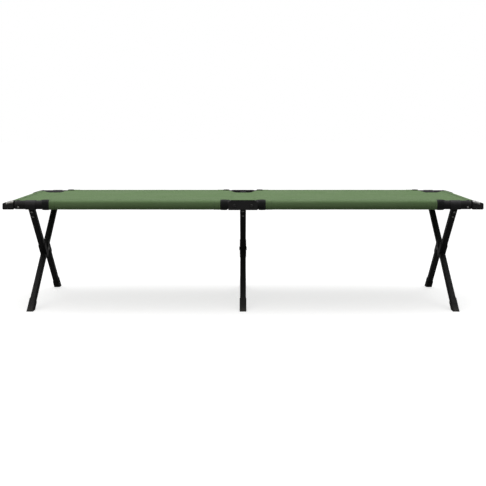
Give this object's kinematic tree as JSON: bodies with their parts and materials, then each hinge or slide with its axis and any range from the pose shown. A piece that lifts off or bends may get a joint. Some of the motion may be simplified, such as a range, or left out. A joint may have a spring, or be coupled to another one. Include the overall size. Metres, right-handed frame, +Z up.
{
  "type": "folding cot",
  "caption": "Folding camp cot: fabric bed between two jointed side rails on three X-shaped leg pairs, with a lift-off spreader bar at each end.",
  "frame": {"origin": "on the floor, at the middle of the cot's outline", "axes": "+X along the cot, +Y across it, +Z up"},
  "size_m": [1.905, 0.658, 0.439],
  "materials": {
    "tube_metal": "black powder coat on thin tube",
    "bracket_steel": "black painted pressed steel",
    "black_nylon": "moulded black nylon, fine grain",
    "foot_rubber": "matt black rubber",
    "bright_steel": "zinc plated steel",
    "bed_cloth": "tightly woven coated polyester, olive green"
  },
  "bodies": {
    "near_left_frame": {"rail_near_left": "tube_metal", "tang_near_left": "black_nylon", "end_plug_near_left": "black_nylon", "sleeve_near_left": "bed_cloth", "bed_left": "bed_cloth"},
    "near_right_frame": {"rail_near_right": "tube_metal", "tang_near_right": "black_nylon", "end_plug_near_right": "black_nylon", "sleeve_near_right": "bed_cloth", "bed_right": "bed_cloth"},
    "near_middle_hinge": {"middle_channel_near": "bracket_steel", "middle_pins_near": "bright_steel"},
    "far_left_frame": {"rail_far_left": "tube_metal", "tang_far_left": "black_nylon", "end_plug_far_left": "black_nylon", "sleeve_far_left": "bed_cloth"},
    "far_right_frame": {"rail_far_right": "tube_metal", "tang_far_right": "black_nylon", "end_plug_far_right": "black_nylon", "sleeve_far_right": "bed_cloth"},
    "far_middle_hinge": {"middle_channel_far": "bracket_steel", "middle_pins_far": "bright_steel"},
    "split_leg_left_body": {"split_leg_upper_left": "tube_metal", "split_leg_lower_left": "tube_metal", "split_leg_head_left": "black_nylon", "split_leg_foot_left": "foot_rubber", "split_leg_rivets_left": "bright_steel", "scissor_plates_left": "bracket_steel"},
    "straight_leg_left_body": {"straight_leg_left": "tube_metal", "straight_leg_head_left": "black_nylon", "straight_leg_foot_left": "foot_rubber", "straight_leg_rivets_left": "bright_steel", "pivot_bolt_left": "bright_steel"},
    "split_leg_middle_body": {"split_leg_upper_middle": "tube_metal", "split_leg_lower_middle": "tube_metal", "split_leg_head_middle": "black_nylon", "split_leg_foot_middle": "foot_rubber", "split_leg_rivets_middle": "bright_steel", "scissor_plates_middle": "bracket_steel"},
    "straight_leg_middle_body": {"straight_leg_middle": "tube_metal", "straight_leg_head_middle": "black_nylon", "straight_leg_foot_middle": "foot_rubber", "straight_leg_rivets_middle": "bright_steel", "pivot_bolt_middle": "bright_steel"},
    "split_leg_right_body": {"split_leg_upper_right": "tube_metal", "split_leg_lower_right": "tube_metal", "split_leg_head_right": "black_nylon", "split_leg_foot_right": "foot_rubber", "split_leg_rivets_right": "bright_steel", "scissor_plates_right": "bracket_steel"},
    "straight_leg_right_body": {"straight_leg_right": "tube_metal", "straight_leg_head_right": "black_nylon", "straight_leg_foot_right": "foot_rubber", "straight_leg_rivets_right": "bright_steel", "pivot_bolt_right": "bright_steel"},
    "end_bar_left_body": {"end_bar_left": "tube_metal", "corner_blocks_left": "black_nylon"},
    "end_bar_right_body": {"end_bar_right": "tube_metal", "corner_blocks_right": "black_nylon"}
  },
  "joints": [
    {"name": "frame_fold", "type": "hinge", "parent": "near_left_frame", "child": "split_leg_left_body", "pos_m": [-0.843, -0.305, 0.42], "axis": [-1, 0, 0], "range_deg": [0, 50], "deforming": ["bed_left", "bed_right"]},
    {"name": "crossing_left", "type": "hinge", "parent": "split_leg_left_body", "child": "straight_leg_left_body", "pos_m": [-0.843, 0, 0.21], "axis": [1, 0, 0], "range_deg": [0, 100]},
    {"name": "near_head_middle", "type": "hinge", "parent": "near_middle_hinge", "child": "split_leg_middle_body", "pos_m": [0, -0.305, 0.42], "axis": [-1, 0, 0], "range_deg": [0, 50]},
    {"name": "crossing_middle", "type": "hinge", "parent": "split_leg_middle_body", "child": "straight_leg_middle_body", "pos_m": [0, 0, 0.21], "axis": [1, 0, 0], "range_deg": [0, 100]},
    {"name": "near_head_right", "type": "hinge", "parent": "near_right_frame", "child": "split_leg_right_body", "pos_m": [0.843, -0.305, 0.42], "axis": [-1, 0, 0], "range_deg": [0, 50]},
    {"name": "crossing_right", "type": "hinge", "parent": "split_leg_right_body", "child": "straight_leg_right_body", "pos_m": [0.843, 0, 0.21], "axis": [1, 0, 0], "range_deg": [0, 100]},
    {"name": "far_head_left", "type": "hinge", "parent": "straight_leg_left_body", "child": "far_left_frame", "pos_m": [-0.843, 0.305, 0.42], "axis": [-1, 0, 0], "range_deg": [0, 50]},
    {"name": "middle_fold", "type": "hinge", "parent": "near_left_frame", "child": "near_middle_hinge", "pos_m": [-0.034, -0.305, 0.417], "axis": [0, -1, 0], "range_deg": [0, 86]},
    {"name": "near_right_fold", "type": "hinge", "parent": "near_middle_hinge", "child": "near_right_frame", "pos_m": [0.034, -0.305, 0.417], "axis": [0, -1, 0], "range_deg": [0, 86]},
    {"name": "far_left_fold", "type": "hinge", "parent": "far_left_frame", "child": "far_middle_hinge", "pos_m": [-0.034, 0.305, 0.417], "axis": [0, -1, 0], "range_deg": [0, 86]},
    {"name": "far_right_fold", "type": "hinge", "parent": "far_middle_hinge", "child": "far_right_frame", "pos_m": [0.034, 0.305, 0.417], "axis": [0, -1, 0], "range_deg": [0, 86]},
    {"name": "left_bar_lift", "type": "slide", "parent": "near_left_frame", "child": "end_bar_left_body", "axis": [0, 0, 1], "range_m": [0, 0.018]},
    {"name": "right_bar_lift", "type": "slide", "parent": "near_right_frame", "child": "end_bar_right_body", "axis": [0, 0, 1], "range_m": [0, 0.018]}
  ],
  "couplings": [
    {"joint": "crossing_left", "follows": "frame_fold", "ratio": 2},
    {"joint": "near_head_middle", "follows": "frame_fold", "ratio": 1},
    {"joint": "crossing_middle", "follows": "frame_fold", "ratio": 2},
    {"joint": "near_head_right", "follows": "frame_fold", "ratio": 1},
    {"joint": "crossing_right", "follows": "frame_fold", "ratio": 2},
    {"joint": "far_head_left", "follows": "frame_fold", "ratio": 1},
    {"joint": "near_right_fold", "follows": "middle_fold", "ratio": 1},
    {"joint": "far_left_fold", "follows": "middle_fold", "ratio": 1},
    {"joint": "far_right_fold", "follows": "middle_fold", "ratio": 1}
  ]
}
